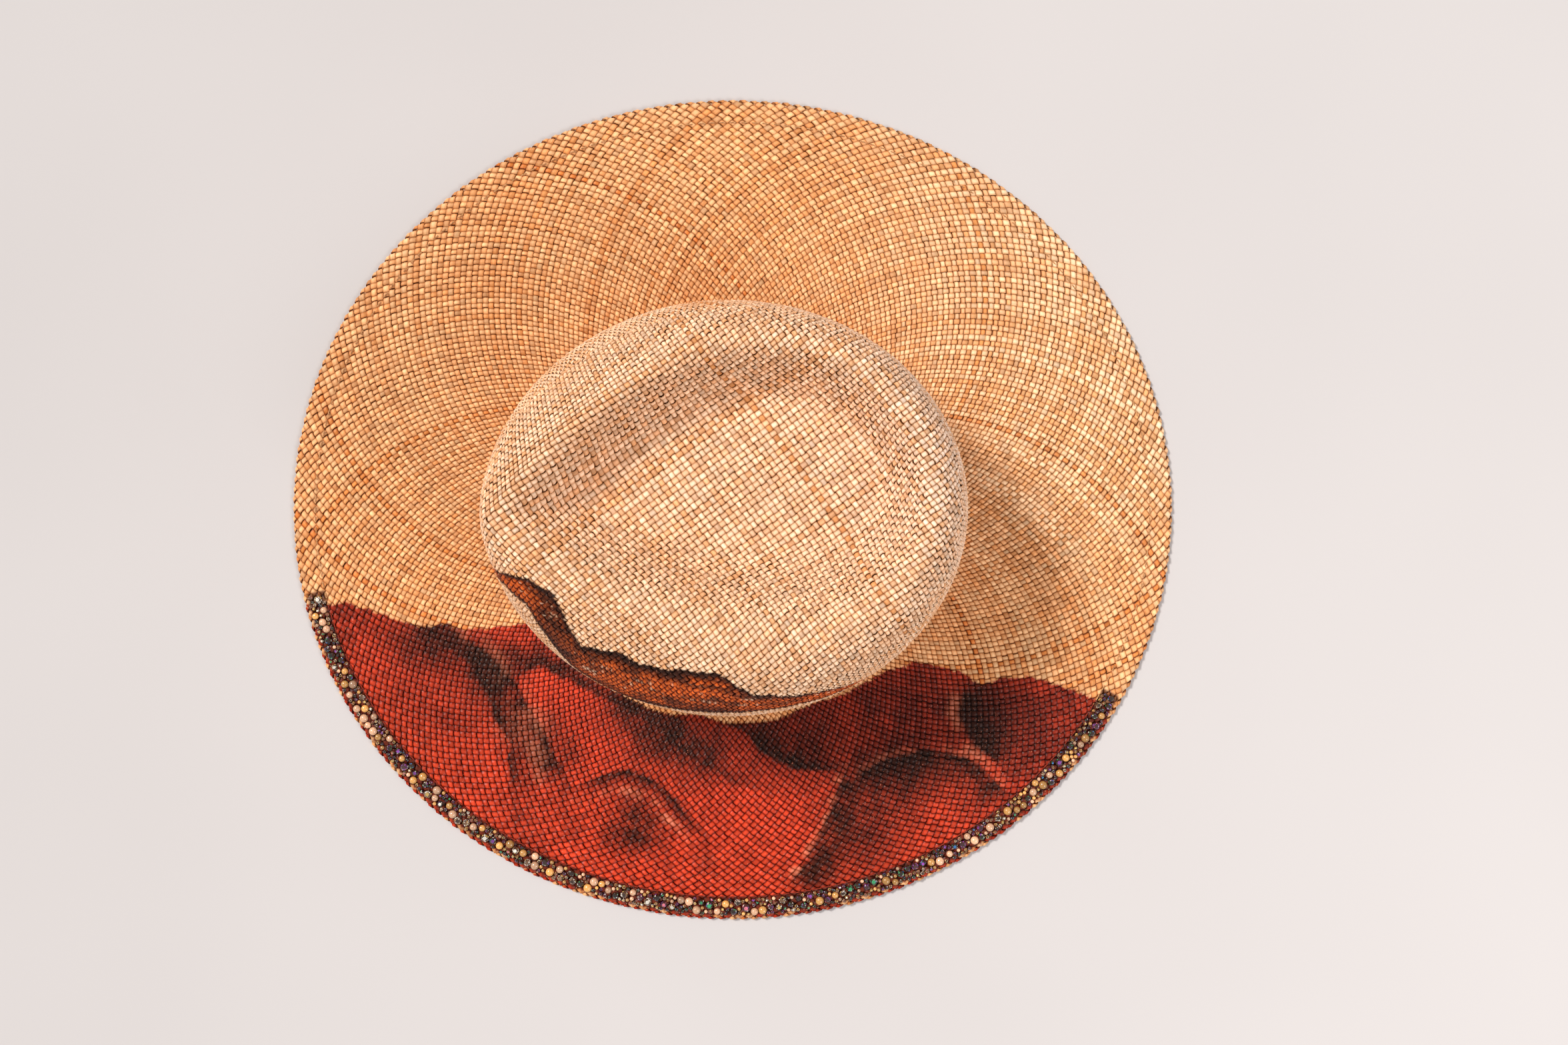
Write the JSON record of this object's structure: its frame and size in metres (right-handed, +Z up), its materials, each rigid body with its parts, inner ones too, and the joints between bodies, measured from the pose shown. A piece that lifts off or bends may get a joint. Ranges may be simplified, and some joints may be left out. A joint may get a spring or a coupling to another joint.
{
  "type": "woven straw sun hat",
  "caption": "Wide-brimmed handwoven straw hat with a teardrop-creased crown, a hemmed flat brim edge, an inner sweatband and a rhinestone arc on a painted side.",
  "frame": {"origin": "on the surface that the brim rests on, under the middle of the brim's outline", "axes": "+Z up through the crown; -Y the hat's front, where the crease comes to a point; +X the wearer's left, the painted side"},
  "size_m": [0.3838, 0.4116, 0.108],
  "materials": {
    "straw": "handwoven straw in natural peach and cream, part of it painted red and rust",
    "wire_steel": "drawn",
    "joiner_brass": "crimped",
    "hem_thread": "waxed thread",
    "band_leather": "thin soft leather, low sheen",
    "reed_plastic": "extruded",
    "band_thread": "thread",
    "seam_tape": "narrow woven tape",
    "bow_ribbon": "satin ribbon",
    "tag_cloth": "plain woven label cloth",
    "stone_jet": "foil-backed cut glass",
    "stone_gold": "foil-backed cut glass",
    "stone_peach": "foil-backed cut glass",
    "stone_crystal": "foil-backed cut glass",
    "stone_violet": "foil-backed cut glass"
  },
  "bodies": {
    "root": {"woven_body": "straw", "brim_hem": "straw", "brim_wire": "wire_steel", "wire_joiner": "joiner_brass", "hem_stitches": "hem_thread", "sweatband": "band_leather", "sweatband_reed": "reed_plastic", "sweatband_stitches": "band_thread", "sweatband_seam": "seam_tape", "sweatband_bow": "bow_ribbon", "size_tag": "tag_cloth", "rhinestones_crystal_large": "stone_crystal", "rhinestones_crystal_small": "stone_crystal", "rhinestones_gold_large": "stone_gold", "rhinestones_gold_small": "stone_gold", "rhinestones_jet_large": "stone_jet", "rhinestones_jet_small": "stone_jet", "rhinestones_peach_large": "stone_peach", "rhinestones_peach_small": "stone_peach", "rhinestones_violet_large": "stone_violet", "rhinestones_violet_small": "stone_violet"}
  },
  "joints": []
}
